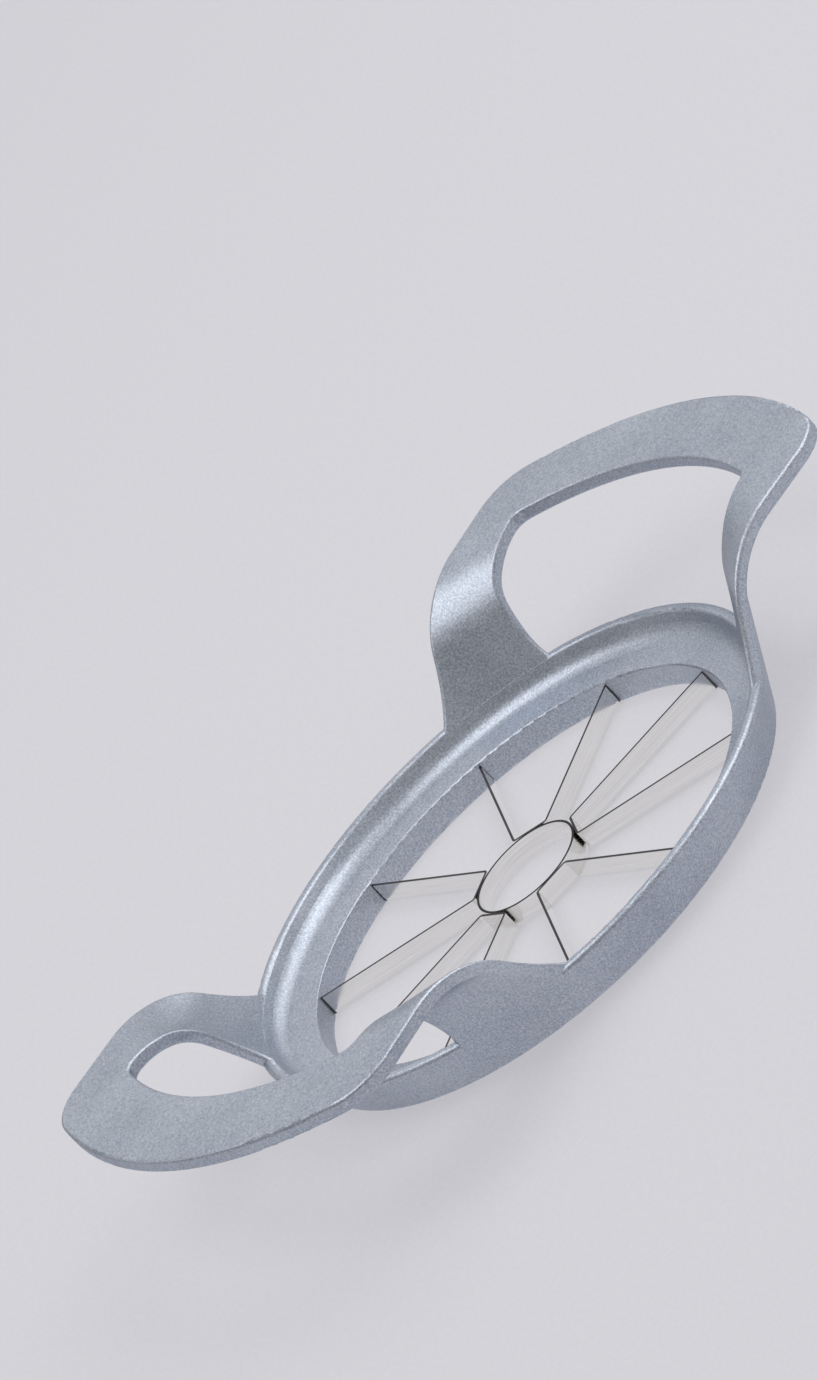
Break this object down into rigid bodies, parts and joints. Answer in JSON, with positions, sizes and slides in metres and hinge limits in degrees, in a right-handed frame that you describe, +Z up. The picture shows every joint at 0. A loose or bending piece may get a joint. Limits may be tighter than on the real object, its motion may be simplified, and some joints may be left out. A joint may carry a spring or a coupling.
{
  "type": "apple slicer",
  "caption": "Cast ring with raised loop handles holds folded radial blades around a small core ring; pressed down over a fruit, it cuts out the core and parts the rest into wedges.",
  "frame": {"origin": "on the base plane, at the ring's axis", "axes": "+X along the handles, +Y across them in the base plane, +Z up, away from the board that the ring rests on"},
  "size_m": [0.172, 0.1102, 0.0281],
  "materials": {
    "casting": "fine-grained satin silver-grey coating on the casting",
    "blade_steel": "polished stainless strip with a honed lower edge"
  },
  "bodies": {
    "root": {"handle_frame": "casting", "core_ring": "blade_steel", "blade_strip_1": "blade_steel", "blade_strip_2": "blade_steel", "blade_strip_3": "blade_steel", "blade_strip_4": "blade_steel", "blade_strip_5": "blade_steel"}
  },
  "joints": []
}
